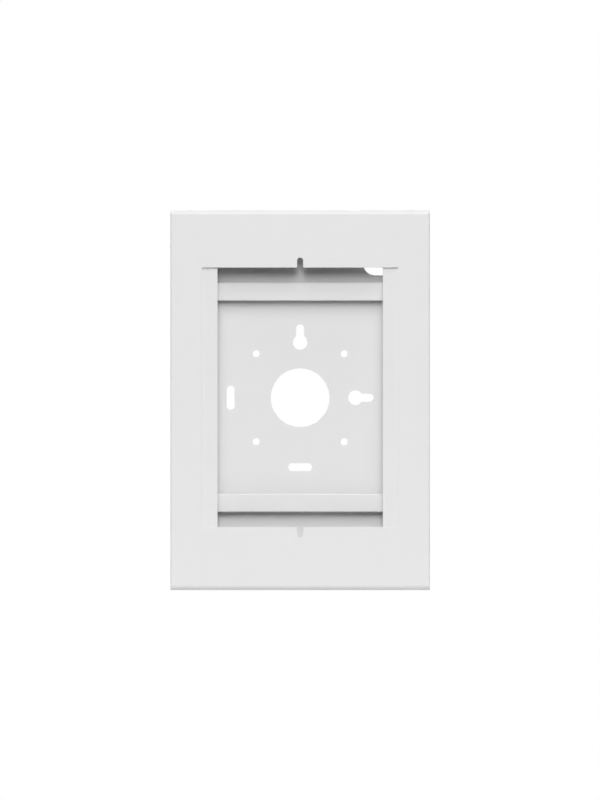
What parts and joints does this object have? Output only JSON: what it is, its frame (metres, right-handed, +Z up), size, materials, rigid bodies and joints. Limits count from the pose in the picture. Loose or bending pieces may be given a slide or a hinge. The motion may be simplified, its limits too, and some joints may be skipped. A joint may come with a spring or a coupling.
{
  "type": "tablet wall mount",
  "caption": "Lockable steel wall enclosure for a tablet: a folded cover with a screen window hangs on a wall plate with a cable hole and screw slots.",
  "frame": {"origin": "on the wall plane, behind the middle of the cable hole, which is also the middle of the 75 mm square screw pattern", "axes": "+Y into the wall, +Z up, +X to the right as seen from in front of the cover"},
  "size_m": [0.221, 0.028, 0.324],
  "materials": {
    "white_powder_coat": "satin",
    "white_plastic": "matte",
    "zinc_plate": "satin",
    "nickel_plate": "gloss"
  },
  "bodies": {
    "wall_unit": {"wall_plate": "white_powder_coat", "upper_support_bar": "white_powder_coat", "lower_support_bar": "white_powder_coat", "upper_bar_rivet_left": "zinc_plate", "upper_bar_rivet_right": "zinc_plate", "lower_bar_rivet_left": "zinc_plate", "lower_bar_rivet_right": "zinc_plate", "lock_keeper": "white_powder_coat"},
    "cover": {"front_cover": "white_powder_coat", "left_hook": "white_powder_coat", "right_hook": "white_powder_coat", "left_adapter": "white_plastic", "right_adapter": "white_plastic", "adapter_nut_lower_left": "zinc_plate", "adapter_nut_lower_right": "zinc_plate", "adapter_nut_upper_left": "zinc_plate", "adapter_nut_upper_right": "zinc_plate", "lock_plate": "white_powder_coat", "lock_housing": "nickel_plate", "lock_nut": "zinc_plate"},
    "lock_core": {"lock_plug": "nickel_plate", "lock_cam": "zinc_plate", "cam_washer": "zinc_plate", "cam_screw": "zinc_plate"}
  },
  "joints": [
    {"name": "cover_tilt", "type": "hinge", "parent": "wall_unit", "child": "cover", "pos_m": [0, -0.006, 0.1564], "axis": [-1, 0, 0], "range_deg": [0, 20]},
    {"name": "lock_turn", "type": "hinge", "parent": "cover", "child": "lock_core", "pos_m": [0.062, -0.0155, -0.1457], "axis": [0, 0, -1], "range_deg": [0, 90]}
  ]
}
